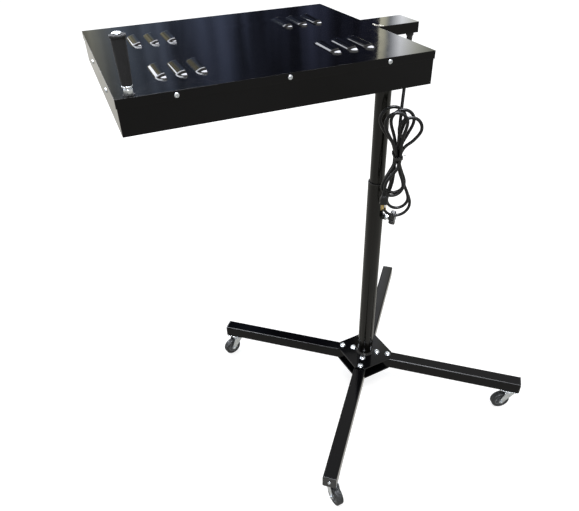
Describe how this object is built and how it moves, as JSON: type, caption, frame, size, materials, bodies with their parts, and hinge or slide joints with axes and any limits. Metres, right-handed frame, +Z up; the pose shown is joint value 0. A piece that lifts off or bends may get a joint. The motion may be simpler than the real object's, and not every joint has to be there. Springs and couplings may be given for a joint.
{
  "type": "screen printing flash dryer",
  "caption": "Floor-standing flash dryer for screen printing: heated head on a telescopic post with a caster base.",
  "frame": {"origin": "on the floor, on the post axis", "axes": "+Z up; the head reaches towards -X, its neck ends on the +X side"},
  "size_m": [1.0978, 0.8587, 1.322],
  "materials": {
    "black_enamel": "satin black enamel",
    "gloss_enamel": "gloss black enamel",
    "black_plastic": "moulded, slight sheen",
    "bright_zinc": "bright zinc plate",
    "wheel_nylon": "moulded grey",
    "tyre_rubber": "dark grey rubber",
    "white_nylon": "turned nylon",
    "foam_rubber": "matt foam",
    "cord_vinyl": "flexible vinyl",
    "pin_brass": "bare",
    "ceramic": "unglazed ceramic and fibre board",
    "quartz": "milky quartz",
    "mirror_aluminium": "bright rolled",
    "red_plastic": "moulded red"
  },
  "bodies": {
    "base": {"hub_plate_top": "black_enamel", "hub_plate_bottom": "black_enamel", "leg_left": "black_enamel", "leg_front": "black_enamel", "leg_right": "black_enamel", "leg_rear": "black_enamel", "leg_end_caps": "black_plastic", "end_cap_screws": "bright_zinc", "hub_bolts": "bright_zinc", "outer_post": "black_enamel", "guide_sleeve": "black_plastic", "clamp_nut": "black_enamel", "caster_plates": "bright_zinc", "caster_kingpins": "bright_zinc"},
    "clamp_screw": {"clamp_washer": "bright_zinc", "clamp_stud": "bright_zinc", "star_knob": "black_plastic"},
    "mast": {"inner_post": "black_enamel", "post_cap": "black_plastic", "thrust_disc": "white_nylon"},
    "head": {"housing_pan": "gloss_enamel", "top_cover": "gloss_enamel", "housing_screws": "bright_zinc", "neck_channel": "gloss_enamel", "neck_bolts": "bright_zinc", "swivel_socket": "black_enamel", "insulation_board": "ceramic", "reflector": "mirror_aluminium", "heater_tubes": "quartz", "heater_end_caps": "ceramic", "tube_brackets": "bright_zinc", "guard_grille": "bright_zinc", "terminal_block": "ceramic", "handle_rod": "bright_zinc", "handle_grip": "foam_rubber", "handle_nuts": "bright_zinc", "switch_housing": "black_plastic", "cable_gland": "black_plastic", "power_lead": "cord_vinyl", "lead_hank": "cord_vinyl", "lead_tie": "black_plastic", "plug_body": "cord_vinyl", "plug_pins": "pin_brass"},
    "rocker": {"switch_rocker": "red_plastic"},
    "caster_left": {"caster_fork_left": "bright_zinc", "wheel_axle_left": "bright_zinc"},
    "wheel_left": {"wheel_core_left": "wheel_nylon", "wheel_tyre_left": "tyre_rubber"},
    "caster_front": {"caster_fork_front": "bright_zinc", "wheel_axle_front": "bright_zinc"},
    "wheel_front": {"wheel_core_front": "wheel_nylon", "wheel_tyre_front": "tyre_rubber"},
    "caster_right": {"caster_fork_right": "bright_zinc", "wheel_axle_right": "bright_zinc"},
    "wheel_right": {"wheel_core_right": "wheel_nylon", "wheel_tyre_right": "tyre_rubber"},
    "caster_rear": {"caster_fork_rear": "bright_zinc", "wheel_axle_rear": "bright_zinc"},
    "wheel_rear": {"wheel_core_rear": "wheel_nylon", "wheel_tyre_rear": "tyre_rubber"}
  },
  "joints": [
    {"name": "mast_slide", "type": "slide", "parent": "base", "child": "mast", "axis": [0, 0, 1], "range_m": [-0.27, 0.15]},
    {"name": "head_swivel", "type": "hinge", "parent": "mast", "child": "head", "pos_m": [0, 0, 1.19], "axis": [0, 0, 1], "range_deg": [-200, 0]},
    {"name": "knob_turn", "type": "hinge", "parent": "base", "child": "clamp_screw", "pos_m": [0.0354, -0.0354, 0.68], "axis": [0.7071, -0.7071, 0], "range_deg": [0, 720]},
    {"name": "switch_tilt", "type": "hinge", "parent": "head", "child": "rocker", "pos_m": [0.0555, 0.016, 1.208], "axis": [0, 0, 1], "range_deg": [0, 16]},
    {"name": "caster_swivel_left", "type": "hinge", "parent": "base", "child": "caster_left", "pos_m": [-0.37689, 0.31625, 0.067], "axis": [0, 0, 1], "continuous": true},
    {"name": "wheel_spin_left", "type": "hinge", "parent": "caster_left", "child": "wheel_left", "pos_m": [-0.40008, 0.31004, 0.03], "axis": [0.2588, -0.9659, 0], "continuous": true},
    {"name": "caster_swivel_front", "type": "hinge", "parent": "base", "child": "caster_front", "pos_m": [-0.31625, -0.37689, 0.067], "axis": [0, 0, 1], "continuous": true},
    {"name": "wheel_spin_front", "type": "hinge", "parent": "caster_front", "child": "wheel_front", "pos_m": [-0.31416, -0.4008, 0.03], "axis": [0.9962, 0.0872, 0], "continuous": true},
    {"name": "caster_swivel_right", "type": "hinge", "parent": "base", "child": "caster_right", "pos_m": [0.37689, -0.31625, 0.067], "axis": [0, 0, 1], "continuous": true},
    {"name": "wheel_spin_right", "type": "hinge", "parent": "caster_right", "child": "wheel_right", "pos_m": [0.35371, -0.31004, 0.03], "axis": [-0.2588, -0.9659, 0], "continuous": true},
    {"name": "caster_swivel_rear", "type": "hinge", "parent": "base", "child": "caster_rear", "pos_m": [0.31625, 0.37689, 0.067], "axis": [0, 0, 1], "continuous": true},
    {"name": "wheel_spin_rear", "type": "hinge", "parent": "caster_rear", "child": "wheel_rear", "pos_m": [0.32825, 0.39768, 0.03], "axis": [-0.866, 0.5, 0], "continuous": true}
  ]
}
